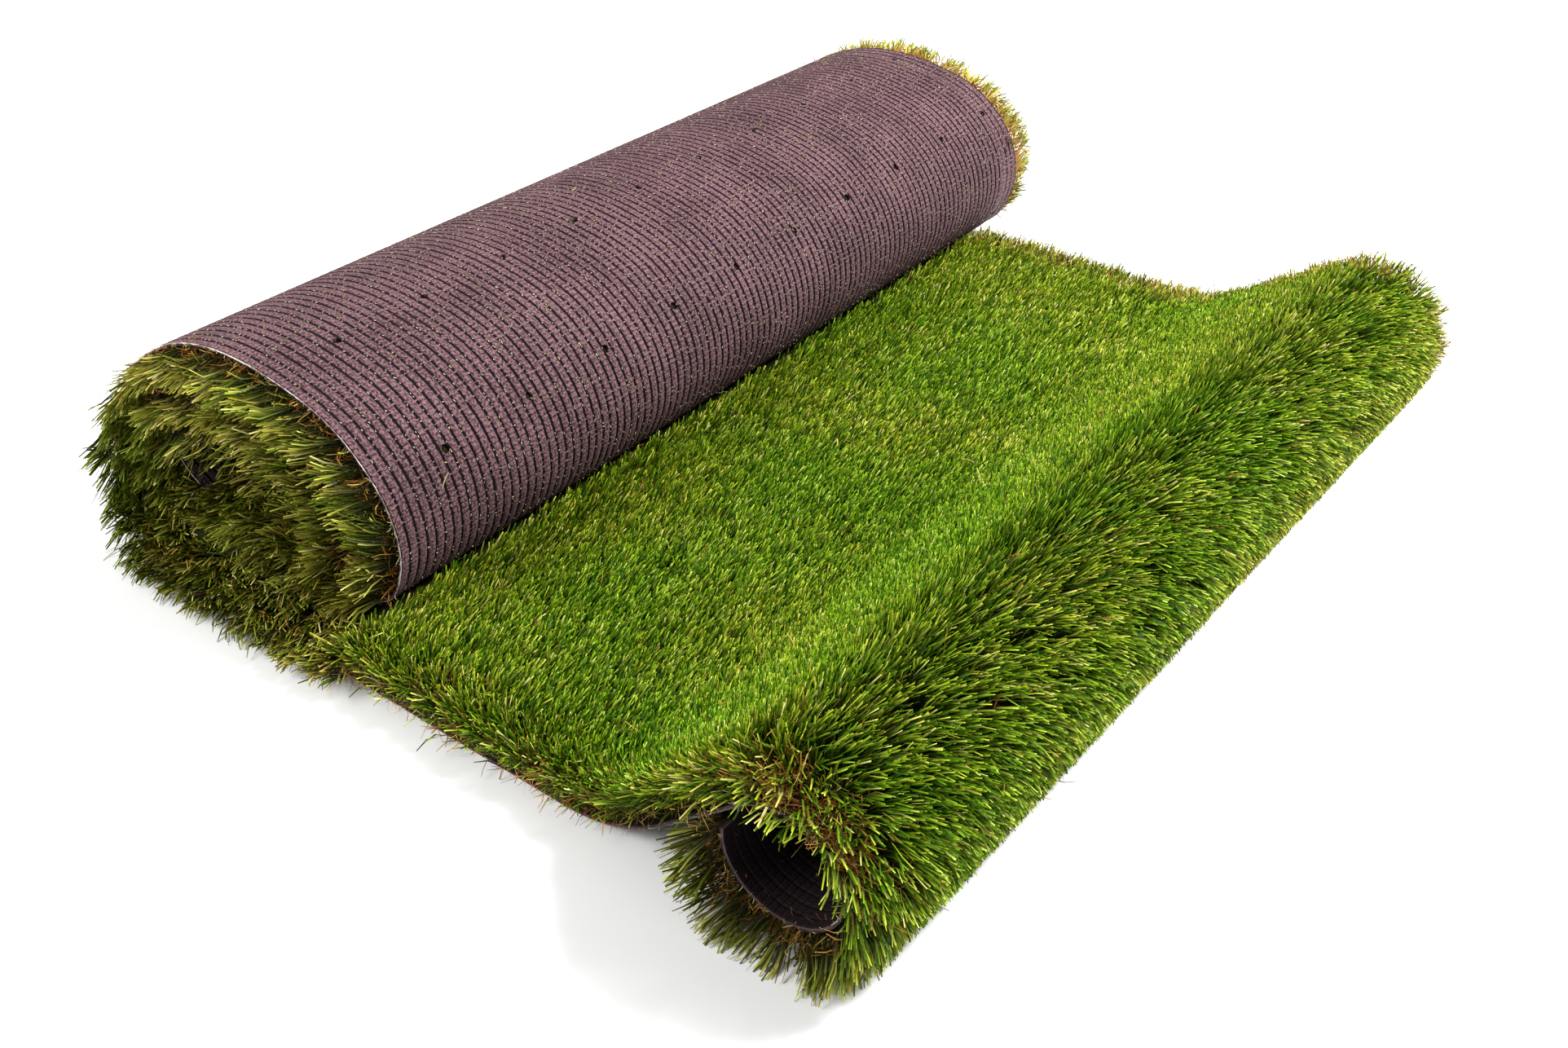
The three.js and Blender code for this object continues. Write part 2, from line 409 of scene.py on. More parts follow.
        under = mixed(self.under)
        pile = mixed(self.top) - under
        slide = np.interp(station, np.arange(self.last + 1), self.slide)
        return Places(
            across=across,
            under=standing(under) + ACROSS * (self.near_y + across + slide)[:, None],
            normal=standing(unit(mixed(self.normal))),
            pile=standing(unit(pile)),
            along=standing(unit(mixed(self.ahead))),
            reach=np.linalg.norm(pile, axis=1),
            stage=np.interp(station, self.stage_stations(), self.STAGES),
        )


def keep_piece(piece: bpy.types.Object, slot: Slot, *nodes: str) -> bpy.types.Object:
    """Rides a finished piece on the body, hides the nodes it stands for and logs its triangles."""
    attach(piece, BODY)
    if nodes:
        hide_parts(*nodes)
    triangles = sum(len(face.vertices) - 2 for face in piece.data.polygons)
    log.info("%s: %d triangles", piece.name, triangles)
    return piece


def scene_object(name: str, data: bpy.types.ID) -> bpy.types.Object:
    """Returns a new object in the scene that shows a mesh, a lamp or a camera."""
    piece = bpy.data.objects.new(name, data)
    bpy.context.scene.collection.objects.link(piece)
    return piece


def joined_copies(
    name: str,
    corners: np.ndarray,
    faces: Faces,
    attributes: dict[str, np.ndarray],
    finish: bpy.types.Material,
) -> bpy.types.Object:
    """Joins many copies of one small shape into a mesh.

    Args:
        name: the piece's name.
        corners: the places of each copy's corners.
        faces: the corners of each face of the shape.
        attributes: by name, a value for each corner of each copy, or for each copy.
        finish: the material.

    Returns:
        The piece.
    """
    copies, size, _ = corners.shape
    pattern = np.concatenate([np.array(face) for face in faces])
    starts = np.cumsum([0] + [len(face) for face in faces[:-1]])
    number = np.arange(copies)[:, None]
    mesh = bpy.data.meshes.new(name)
    mesh.vertices.add(copies * size)
    mesh.vertices.foreach_set("co", corners.astype(np.float32).ravel())
    mesh.loops.add(copies * len(pattern))
    mesh.loops.foreach_set("vertex_index", (number * size + pattern).astype(np.int32).ravel())
    mesh.polygons.add(copies * len(faces))
    mesh.polygons.foreach_set("loop_start", (number * len(pattern) + starts).astype(np.int32).ravel())
    for attribute, values in attributes.items():
        full = np.broadcast_to(values if values.ndim == 2 else values[:, None], (copies, size))
        layer = mesh.attributes.new(attribute, "FLOAT", "POINT")
        layer.data.foreach_set("value", full.astype(np.float32).ravel())
    mesh.materials.append(finish)
    mesh.update(calc_edges=True)
    return scene_object(name, mesh)


class NodePad:
    """A material's node tree with short ways to add to it."""

    def __init__(self, name: str) -> None:
        """Makes a material with one principled shader."""
        self.material = bpy.data.materials.new(name)
        self.material.use_nodes = True
        self.tree = self.material.node_tree
        self.shader = self.tree.nodes["Principled BSDF"]

    def add(self, kind: str, **settings: object) -> bpy.types.Node:
        """Returns a new node with its properties set."""
        node = self.tree.nodes.new(kind)
        for key, value in settings.items():
            setattr(node, key, value)
        return node

    def link(self, source: bpy.types.NodeSocket, target: bpy.types.NodeSocket) -> None:
        """Joins two sockets."""
        self.tree.links.new(source, target)

    def set(self, node: bpy.types.Node, **values: object) -> None:
        """Sets inputs by name: an underscore stands for a space."""
        for key, value in values.items():
            node.inputs[key.replace("_", " ")].default_value = value

    def finish(
        self, colour: bpy.types.NodeSocket, roughness: float, specular: float
    ) -> bpy.types.Material:
        """Gives the shader its colour and gloss, and returns the material."""
        self.link(colour, self.shader.inputs["Base Color"])
        self.set(self.shader, Roughness=roughness, Specular_IOR_Level=specular)
        return self.material

    def math(
        self, operation: str, first: object, second: object = 0.0, third: object = 0.0
    ) -> bpy.types.NodeSocket:
        """Adds a math node and returns its output."""
        node = self.add("ShaderNodeMath", operation=operation)
        for socket, value in zip(node.inputs, (first, second, third)):
            self._feed(socket, value)
        return node.outputs[0]

    def between(self, value: bpy.types.NodeSocket, start: float, end: float) -> bpy.types.NodeSocket:
        """Returns 0 where the value is at start, 1 where it is at end, and a smooth change between them."""
        node = self.add("ShaderNodeMapRange", interpolation_type="SMOOTHSTEP")
        for socket, number in zip(node.inputs, (value, start, end, 0.0, 1.0)):
            self._feed(socket, number)
        return node.outputs[0]

    def mix(self, share: object, first: object, second: object, blend: str = "MIX") -> bpy.types.NodeSocket:
        """Mixes two colours and returns the result."""
        node = self.add("ShaderNodeMix", data_type="RGBA", blend_type=blend)
        for socket, value in zip((node.inputs[0], node.inputs[6], node.inputs[7]), (share, first, second)):
            self._feed(socket, value)
        return node.outputs[2]

    def ramp(self, value: bpy.types.NodeSocket, stops: Stops) -> bpy.types.NodeSocket:
        """Turns a value into a colour through its stops and returns the colour."""
        node = self.add("ShaderNodeValToRGB")
        ramp = node.color_ramp
        while len(ramp.elements) < len(stops):
            ramp.elements.new(1.0)
        for element, (place, colour) in zip(ramp.elements, stops):
            element.position = place
            element.color = (*colour, 1.0)
        self.link(value, node.inputs[0])
        return node.outputs[0]

    def noise(self, vector: bpy.types.NodeSocket, scale: float, detail: float = 2.0) -> bpy.types.NodeSocket:
        """Adds a noise texture and returns its value."""
        node = self.add("ShaderNodeTexNoise")
        self.set(node, Scale=scale, Detail=detail)
        self.link(vector, node.inputs["Vector"])
        return node.outputs[0]

    def object_place(self) -> bpy.types.NodeSocket:
        """Returns the place on the object."""
        return self.add("ShaderNodeTexCoord").outputs["Object"]

    def sheet_place(self) -> tuple[bpy.types.NodeSocket, bpy.types.NodeSocket, bpy.types.NodeSocket]:
        """Returns the place on the flat sheet, and how far it is along and across."""
        flat = self.add("ShaderNodeUVMap", uv_map="sheet").outputs[0]
        parts = self.add("ShaderNodeSeparateXYZ")
        self.link(flat, parts.inputs[0])
        return flat, parts.outputs[0], parts.outputs[1]

    def from_whole(self, value: bpy.types.NodeSocket) -> bpy.types.NodeSocket:
        """Returns how far a value is from the nearest whole number."""
        from_half = self.math("ABSOLUTE", self.math("SUBTRACT", self.math("FRACT", value), 0.5))
        return self.math("SUBTRACT", 0.5, from_half)

    def attribute(self, name: str) -> bpy.types.NodeSocket:
        """Returns the value of a mesh attribute."""
        return self.add("ShaderNodeAttribute", attribute_name=name).outputs["Fac"]

    def bump(self, height: bpy.types.NodeSocket, strength: float, distance: float) -> None:
        """Adds bump to the shader's normal."""
        node = self.add("ShaderNodeBump")
        self.set(node, Strength=strength, Distance=distance)
        self.link(height, node.inputs["Height"])
        self.link(node.outputs[0], self.shader.inputs["Normal"])

    def _feed(self, socket: bpy.types.NodeSocket, value: object) -> None:
        """Links a socket, or sets its number or colour."""
        if isinstance(value, bpy.types.NodeSocket):
            self.link(value, socket)
        elif isinstance(value, tuple):
            socket.default_value = (*value, 1.0)
        else:
            socket.default_value = value


STRAWS = (
    (0.0, (0.050, 0.028, 0.005)),
    (0.35, (0.220, 0.135, 0.018)),
    (0.70, (0.620, 0.450, 0.085)),
    (1.0, (0.950, 0.800, 0.360)),
)


@dataclass(frozen=True)
class StrandFinish:
    """The colours of a kind of blade, fibre or thread, from the darkest to the palest."""

    name: str
    tints: Stops
    root: Colour
    root_power: float
    roughness: float
    specular: float = 0.18
    straws: Stops = STRAWS
    patch: Colour = (0.70, 0.92, 0.60)
    patch_scale: float = 5.5
    patch_edges: tuple[float, float] = (0.38, 0.66)

    def make(self) -> bpy.types.Material:
        """Returns the material: fresh or dry for each strand, and mixed towards its root colour low down; on
        the lawn blades that root colour is painted shade deep in the pile.
        """
        pad = NodePad(self.name)
        tint = pad.attribute("tint")
        fresh = pad.ramp(tint, self.tints)
        dried = pad.ramp(tint, self.straws)
        colour = pad.mix(pad.attribute("dry"), fresh, dried)
        patch = pad.between(pad.noise(pad.object_place(), self.patch_scale), *self.patch_edges)
        colour = pad.mix(patch, colour, self.patch, "MULTIPLY")
        # Low on each strand the colour goes to the root colour, which for the lawn blades is painted shade.
        grown = pad.math("POWER", pad.attribute("grown"), self.root_power)
        return pad.finish(pad.mix(grown, self.root, colour), self.roughness, self.specular)


LAWN_FINISH = StrandFinish(
    name="lawn_blade",
    tints=(
        (0.0, (0.012, 0.045, 0.001)),
        (0.25, (0.065, 0.175, 0.003)),
        (0.55, (0.200, 0.350, 0.005)),
        (0.78, (0.440, 0.560, 0.012)),
        (0.93, (0.720, 0.760, 0.070)),
        (1.0, (0.900, 0.820, 0.250)),
    ),
    # A near-black root: painted shade at the foot of the lawn.
    root=(0.004, 0.008, 0.001),
    root_power=2.6,
    roughness=0.55,
    specular=0.10,
)
FRINGE_FINISH = replace(LAWN_FINISH, name="fringe_blade", root=(0.290, 0.120, 0.035))
THATCH_FINISH = StrandFinish(
    name="thatch_fibre",
    tints=(
        (0.0, (0.160, 0.050, 0.008)),
        (0.45, (0.460, 0.170, 0.028)),
        (0.8, (0.720, 0.350, 0.075)),
        (1.0, (0.780, 0.600, 0.200)),
    ),
    root=(0.050, 0.020, 0.005),
    root_power=0.6,
    roughness=0.5,
)
THREAD_FINISH = StrandFinish(
    name="loose_thread",
    tints=(
        (0.0, (0.450, 0.330, 0.260)),
        (0.4, (0.820, 0.680, 0.480)),
        (0.7, (0.640, 0.600, 0.180)),
        (1.0, (0.950, 0.860, 0.720)),
    ),
    root=(0.200, 0.140, 0.140),
    root_power=0.5,
    roughness=0.6,
)


@dataclass(frozen=True)
class ClothFinish:
    """The woven backing: dark grooves between the ribs, crossed by stitches, and a painted shade that turns
    it near-black towards the free end, for the shade inside the curl.
    """

    pitch: float
    # Where the painted shade for the inside of the curl starts and where it is full, as lengths along the
    # sheet.
    curl_shade_start: float
    curl_shade_end: float
    rib_pitch: float = 0.0052
    wander: float = 0.0022
    shear: float = 0.004
    grain_scale: float = 430.0
    grain_gain: float = 4.4
    patch_scale: float = 14.0
    patch_gain: float = 0.9
    tone_shift: float = -2.15
    edge_grain: float = 0.10
    gap_edges: tuple[float, float] = (0.22, 0.10)
    gap_shade: float = 0.28
    groove_edges: tuple[float, float] = (0.23, 0.13)
    crossing_edges: tuple[float, float] = (0.34, 0.44)
    crossing_scale: float = 160.0
    crossing_threshold: float = 0.57
    # How much grain shows in the painted shade of the free part.
    curl_shade_grain: float = 0.25
    bump_depth: float = 0.0012
    cloth: Colour = (0.228, 0.124, 0.140)
    shade: Colour = (0.036, 0.017, 0.020)
    groove: Colour = (0.007, 0.004, 0.005)
    stitch: Colour = (0.320, 0.200, 0.195)
    # The painted shade colour of the free part, for the inside of the curl.
    inner: Colour = (0.007, 0.004, 0.005)

    def make(self) -> bpy.types.Material:
        """Returns the material, which reads the sheet's flat lengths from its UV map."""
        pad = NodePad("backing_cloth")
        flat, length, across = pad.sheet_place()
        wander = pad.math("MULTIPLY_ADD", pad.noise(flat, 9.0), self.wander, -self.wander / 2)
        from_groove = pad.from_whole(pad.math("DIVIDE", pad.math("ADD", across, wander), self.pitch))
        shear = pad.math("MULTIPLY_ADD", pad.noise(flat, 22.0), self.shear, length)
        from_rib_gap = pad.from_whole(pad.math("DIVIDE", shear, self.rib_pitch))
        grain = pad.noise(flat, self.grain_scale, 5.0)
        patch = pad.noise(flat, self.patch_scale, 3.0)
        patch_tone = pad.math("MULTIPLY_ADD", patch, self.patch_gain, self.tone_shift)
        tone = pad.math("MULTIPLY_ADD", grain, self.grain_gain, patch_tone)
        cloth = pad.mix(tone, self.shade, self.cloth)
        gap_edge = pad.math("MULTIPLY_ADD", grain, self.edge_grain, from_rib_gap)
        gap = pad.between(gap_edge, *self.gap_edges)
        cloth = pad.mix(pad.math("MULTIPLY", gap, self.gap_shade), cloth, self.shade)
        groove_edge = pad.math("MULTIPLY_ADD", grain, self.edge_grain, from_groove)
        groove = pad.between(groove_edge, *self.groove_edges)
        picked = pad.noise(flat, self.crossing_scale, 1.0)
        stitched = pad.math("GREATER_THAN", picked, self.crossing_threshold)
        crossing = pad.math("MULTIPLY", pad.between(from_rib_gap, *self.crossing_edges), stitched)
        colour = pad.mix(groove, cloth, pad.mix(crossing, self.groove, self.stitch))
        # Painted shade: past the roll the cloth turns near-black, for the shade inside the curl.
        curl_shade_fade = pad.between(length, self.curl_shade_start, self.curl_shade_end)
        inner = pad.mix(pad.math("MULTIPLY", grain, self.curl_shade_grain), self.inner, self.shade)
        height = pad.math("SUBTRACT", pad.math("MULTIPLY", grain, 0.6), pad.math("MULTIPLY", gap, 0.8))
        pad.bump(pad.math("SUBTRACT", height, groove), 0.8, self.bump_depth)
        return pad.finish(pad.mix(curl_shade_fade, colour, inner), 0.75, 0.15)


@dataclass(frozen=True)
class CutEdgeFinish:
    """The backing's cut edge: a thin pale ragged line on its outer side, darkened into painted shade towards
    the free end, inside the curl.
    """

    curl_shade_start: float
    curl_shade_end: float
    ragged_scale: float = 300.0
    patch_scale: float = 70.0
    patch_edges: tuple[float, float] = (0.44, 0.56)
    line_edges: tuple[float, float] = (0.70, 0.46)
    pale: Colour = (0.850, 0.740, 0.730)
    worn: Colour = (0.420, 0.300, 0.300)
    # The painted shade of the cut edge towards the free end.
    curl_shade_edge: Colour = (0.090, 0.048, 0.050)
    dark: Colour = (0.030, 0.017, 0.018)

    def make(self) -> bpy.types.Material:
        """Returns the material, which reads how far through the backing a point lies."""
        pad = NodePad("backing_cut_edge")
        place = pad.object_place()
        _, length, _ = pad.sheet_place()
        ragged = pad.noise(place, self.ragged_scale, 3.0)
        patch = pad.noise(place, self.patch_scale)
        through = pad.math("MULTIPLY_ADD", ragged, 0.9, pad.attribute("through"))
        line = pad.between(pad.math("MULTIPLY_ADD", patch, -0.5, through), *self.line_edges)
        # Painted shade: towards the free end the edge turns dark, for the shade inside the curl.
        curl_shade_fade = pad.between(length, self.curl_shade_start, self.curl_shade_end)
        pale = pad.mix(pad.between(patch, *self.patch_edges), self.worn, self.pale)
        return pad.finish(pad.mix(line, self.dark, pad.mix(curl_shade_fade, pale, self.curl_shade_edge)), 0.8, 0.3)


@dataclass(frozen=True)
class MatFinish:
    """The dense foot of the pile, in near-black tones: painted shade for the depths of the pile."""

    # Near-black tones: painted shade deep in the pile.
    pile_shade_tones: Stops = ((0.3, (0.003, 0.004, 0.001)), (0.5, (0.012, 0.015, 0.003)), (0.7, (0.040, 0.030, 0.006)))

    def make(self) -> bpy.types.Material:
        """Returns the material."""
        pad = NodePad("pile_shade_mat")
        tone = pad.noise(pad.object_place(), 420.0, 4.0)
        pad.bump(tone, 1.0, 0.003)
        return pad.finish(pad.ramp(tone, self.pile_shade_tones), 0.9, 0.1)


class SheetSlab:
    """A closed slab that is cut flat, with X along the sheet, Y across it and Z up from its underside."""

    def __init__(self) -> None:
        """Starts an empty slab."""
        self.bm = bmesh.new()

    def lay(self, lengths: np.ndarray, breadths: np.ndarray) -> None:
        """Lays out a grid of faces.

        Args:
            lengths: the places of its cross lines, from the inner cut end.
            breadths: the places of its long lines, from the near edge.
        """
        columns, rows = len(lengths) - 1, len(breadths) - 1
        bmesh.ops.create_grid(self.bm, x_segments=columns, y_segments=rows, size=0.5)
        for vert in self.bm.verts:
            column = round((vert.co.x + 0.5) * columns)
            row = round((vert.co.y + 0.5) * rows)
            vert.co = (lengths[column], breadths[row], 0.0)

    def thicken(self, height: float) -> None:
        """Raises a second layer and closes the sides, which get the second finish."""
        underside = list(self.bm.faces)
        bmesh.ops.reverse_faces(self.bm, faces=underside)
        raised = bmesh.ops.extrude_face_region(self.bm, geom=underside, use_keep_orig=True)
        upper = [item for item in raised["geom"] if isinstance(item, bmesh.types.BMVert)]
        bmesh.ops.translate(self.bm, verts=upper, vec=(0, 0, height))
        bmesh.ops.recalc_face_normals(self.bm, faces=self.bm.faces)
        for face in self.bm.faces:
            face.material_index = 0 if abs(face.normal.z) > 0.5 else 1

    def flat_mesh(self, name: str) -> bpy.types.Mesh:
        """Returns the slab as a mesh, still flat."""
        mesh = bpy.data.meshes.new(name)
        self.bm.to_mesh(mesh)
        self.bm.free()
        return mesh


def bend_mesh(mesh: bpy.types.Mesh, path: SheetPath) -> bpy.types.Mesh:
    """Bends a flat mesh onto the path.

    Args:
        mesh: the flat mesh.
        path: the path.

    Returns:
        The mesh, with its flat lengths in a UV map and its flat heights in an attribute.
    """
    flat = np.empty(len(mesh.vertices) * 3, np.float32)
    mesh.vertices.foreach_get("co", flat)
    flat = flat.reshape(-1, 3).astype(float)
    corners = np.empty(len(mesh.loops), np.int32)
    mesh.loops.foreach_get("vertex_index", corners)
    layer = mesh.uv_layers.new(name="sheet")
    layer.data.foreach_set("uv", flat[corners, :2].astype(np.float32).ravel())
    through = mesh.attributes.new("through", "FLOAT", "POINT")
    through.data.foreach_set("value", (flat[:, 2] / path.sheet.backing).astype(np.float32))
    spots = path.places(flat[:, 0], flat[:, 1])
    bent = spots.under + spots.normal * flat[:, 2:3]
    bent[:, 2] = np.maximum(bent[:, 2], 0.0)
    mesh.vertices.foreach_set("co", bent.astype(np.float32).ravel())
    mesh.update()
    return mesh


@dataclass
class Backing:
    """The woven backing of the whole sheet, with its stitch rows and drain holes."""

    path: SheetPath
    cross_pitch: float = 0.010
    rows_per_panel: int = 4
    groove_depth: float = 0.0013
    groove_half: float = 0.0012
    hole_diameter: float = 0.008
    hole_columns: int = 10
    hole_column_pitch: float = 0.100
    hole_edge_inset: float = 0.074
    hole_row_pitch: float = 0.140
    hole_row_start: float = 0.050
    hole_row_skew: float = 0.036
    hole_innermost_turn: float = 0.86
    hole_end_margin: float = 0.030
    hole_sides: int = 14
    hole_zero_turn: float = 0.5
    grooved_turns: float = 1.04
    groove_side_share: float = 0.25
    # The stage where the painted shade of the backing's free part is full.
    curl_shade_end_stage: float = 0.5
    sharp_angle: float = math.radians(50)

    def build(self) -> bpy.types.Object:
        """Builds the backing as one closed sheet and dresses it."""
        sheet, path = self.path.sheet, self.path
        slab = SheetSlab()
        count = round(path.whole_length / self.cross_pitch)
        panel = sheet.stitch_pitch * self.rows_per_panel
        breadths = np.append(np.arange(0.0, sheet.width, panel), sheet.width)
        slab.lay(np.linspace(0.0, path.whole_length, count + 1), breadths)
        slab.thicken(sheet.backing)
        self._stitch(slab.bm)
        flat = slab.flat_mesh("backing_flat")
        # The lengths over which the cloth and its cut edge darken into painted shade towards the curl.
        curl_shade_fade = (path.length_of(path.wound_count), path.stage_length(self.curl_shade_end_stage))
        flat.materials.append(ClothFinish(sheet.stitch_pitch, *curl_shade_fade).make())
        flat.materials.append(CutEdgeFinish(*curl_shade_fade).make())
        piece = scene_object("backing_cloth", self._punched(flat))
        bend_mesh(piece.data, path)
        piece.data.polygons.foreach_set("use_smooth", [True] * len(piece.data.polygons))
        piece.data.set_sharp_from_angle(angle=self.sharp_angle)
        return keep_piece(piece, Slot.BACKING, BACKING_NODE)

    def _stitch(self, bm: bmesh.types.BMesh) -> None:
        """Cuts the stitch grooves into the underside of the outer turn, with four lines to a row."""
        sheet, path = self.path.sheet, self.path
        start = path.length_of(path.wound_count - self.grooved_turns * path.STATIONS_PER_TURN)
        end = path.length_of(path.wound_count)
        cuts = self.rows_per_panel * 4 - 1
        panel = sheet.stitch_pitch * self.rows_per_panel
        edges = [
            edge for edge in bm.edges
            if all(start < v.co.x < end and v.co.z < sheet.backing / 2 for v in edge.verts)
            and edge.calc_length() > panel * 0.9
        ]
        made = bmesh.ops.subdivide_edges(bm, edges=edges, cuts=cuts, use_grid_fill=True)
        fresh = {item for item in made["geom_inner"] if isinstance(item, bmesh.types.BMVert)}
        fresh |= {v for edge in edges if edge.is_valid for v in edge.verts}
        quarter = sheet.stitch_pitch / 4
        offsets = (0.0, self.groove_half, 2 * quarter, sheet.stitch_pitch - self.groove_half)
        side_depth = self.groove_depth * self.groove_side_share
        depths = (self.groove_depth, side_depth, 0.0, side_depth)
        for vert in fresh:
            grooved = start < vert.co.x < end and vert.co.z < sheet.backing / 2
            if grooved and 0.0 < vert.co.y < sheet.width:
                row, part = divmod(round(vert.co.y / quarter), 4)
                vert.co.y = min(row * sheet.stitch_pitch + offsets[part], sheet.width)
                vert.co.z = depths[part]

    def _punched(self, mesh: bpy.types.Mesh) -> bpy.types.Mesh:
        """Returns the flat sheet with its drain holes punched out."""
        blank = scene_object("backing_blank", mesh)
        punch = scene_object("backing_punch", self._punches())
        cut = blank.modifiers.new("drain_holes", "BOOLEAN")
        cut.operation = "DIFFERENCE"
        cut.solver = "EXACT"
        cut.object = punch
        bpy.context.view_layer.update()
        graph = bpy.context.evaluated_depsgraph_get()
        punched = bpy.data.meshes.new_from_object(blank.evaluated_get(graph))
        for used in (blank, punch):
            bpy.data.objects.remove(used)
        return punched

    def _punches(self) -> bpy.types.Mesh:
        """Returns short rods where the drain holes go, in the flat sheet."""
        sheet, path = self.path.sheet, self.path
        turn_start = path.wound_count - self.hole_innermost_turn * path.STATIONS_PER_TURN
        zero_station = path.wound_count - self.hole_zero_turn * path.STATIONS_PER_TURN
        row_zero = path.length_of(zero_station) - self.hole_row_start
        first = math.ceil((path.length_of(turn_start) - row_zero) / self.hole_row_pitch)
        last = math.floor((path.whole_length - self.hole_end_margin - row_zero) / self.hole_row_pitch)
        bm = bmesh.new()
        for row in range(first, last + 1):
            for column in range(self.hole_columns):
                y = self.hole_edge_inset + column * self.hole_column_pitch
                skew = (y - sheet.width / 2) * self.hole_row_skew
                length = row_zero + row * self.hole_row_pitch + skew
                if length > path.whole_length - self.hole_diameter:
                    continue
                bmesh.ops.create_cone(
                    bm, cap_ends=True, segments=self.hole_sides, radius1=self.hole_diameter / 2,
                    radius2=self.hole_diameter / 2, depth=sheet.backing * 4,
                    matrix=Matrix.Translation((length, y, sheet.backing / 2)),
                )
        mesh = bpy.data.meshes.new("backing_punch")
        bm.to_mesh(mesh)
        bm.free()
        return mesh


@dataclass
class PileMat:
    """The dense foot of the pile, which the blades grow through: a dark mat that stands for the thatch there
    and is painted near-black as the shade deep in the pile.
    """

    path: SheetPath
    free_inset: float = 0.014
    wound_inset: float = 0.034
    free_share: float = 0.26
    wound_share: float = 0.80
    end_gap: float = 0.004
    least_height: float = 0.0005
    cross_lines: int = 320
    spans: int = 12

    def build(self) -> bpy.types.Object:
        """Builds the mat between the backing and a share of the pile's height."""
        path, sheet = self.path, self.path.sheet
        slab = SheetSlab()
        lengths = np.linspace(self.end_gap, path.whole_length - self.end_gap, self.cross_lines)
        breadths = np.linspace(0.0, sheet.width, self.spans + 1)
        slab.lay(lengths, breadths)
        slab.thicken(1.0)
        spots = path.places(lengths, np.full(len(lengths), sheet.width / 2))
        tall = np.maximum(spots.reach - sheet.foot, self.least_height)
        wound = lengths < path.stage_length(-1.0)
        share = np.where(wound, self.wound_share, self.free_share)
        inset = np.where(wound, self.wound_inset, self.free_inset)
        for vert in slab.bm.verts:
            index = int(np.argmin(abs(lengths - vert.co.x)))
            vert.co.y = min(max(vert.co.y, inset[index]), sheet.width - inset[index])
            vert.co.z = sheet.foot + vert.co.z * tall[index] * share[index]
        piece = scene_object("pile_shade_mat", bend_mesh(slab.flat_mesh("pile_shade_mat"), path))
        piece.data.polygons.foreach_set("use_smooth", [True] * len(piece.data.polygons))
        piece.data.polygons.foreach_set("material_index", [0] * len(piece.data.polygons))
        piece.data.materials.append(MatFinish().make())
        return keep_piece(piece, Slot.PILE, PILE_NODE)


@dataclass(frozen=True)
class NapKey:
    """How the pile stands at one stage of the sheet.

    Upright, along and across lean the upper half of a blade. At the side edges it leans out
    instead and hangs down. Dry is the share of dry blades.
    """

    stage: float
    upright: float
    along: float
    across: float
    near_out: float
    near_hang: float
    far_out: float
    dry: float


LAWN_NAP = (
    NapKey(-1.0, 0.80, 0.20, 0.62, 0.50, 0.10, 0.80, 0.05),
    NapKey(-0.1, 0.80, 0.20, 0.62, 0.50, 0.10, 0.80, 0.05),
    NapKey(1.0, 0.80, 0.28, 0.58, 0.60, 0.15, 0.80, 0.05),
    NapKey(1.7, 0.75, 0.38, 0.50, 0.85, 0.25, 0.80, 0.05),
    NapKey(2.13, 0.70, 0.50, 0.38, 1.10, 0.40, 0.80, 0.06),
    NapKey(2.32, 0.85, 0.45, 0.15, 1.15, 0.35, 0.80, 0.14),
    NapKey(2.45, 0.90, 0.40, 0.0, 1.20, 0.20, 0.80, 0.35),
    NapKey(2.62, 0.90, 0.10, 0.0, 1.25, 0.0, 0.80, 0.85),
    NapKey(3.0, 1.00, 0.0, 0.0, 1.10, 0.0, 0.60, 0.85),
)


@dataclass(frozen=True)
class EndNap:
    """How the pile spills out of one end of the roll.

    Inward leans the lower part of a blade into the roll, and deeper adds to it further from the
    end. The last two leans are its upper part's. Dry is the share of dry blades.
    """

    inward: float
    deeper: float
    tip_inward: float
    tip_along: float
    dry: float


END_NAPS = {
    End.NEAR: EndNap(0.52, 0.35, 0.32, 0.36, 0.68),
    End.FAR: EndNap(0.10, 0.60, 0.0, 0.15, 0.42),
}


@dataclass
class Blades:
    """Blades to be made, one row for each: where they stand, how they lean and how they look."""

    root: np.ndarray
    rising: np.ndarray
    falling: np.ndarray
    length: np.ndarray
    width: np.ndarray
    tint: np.ndarray
    dry: np.ndarray


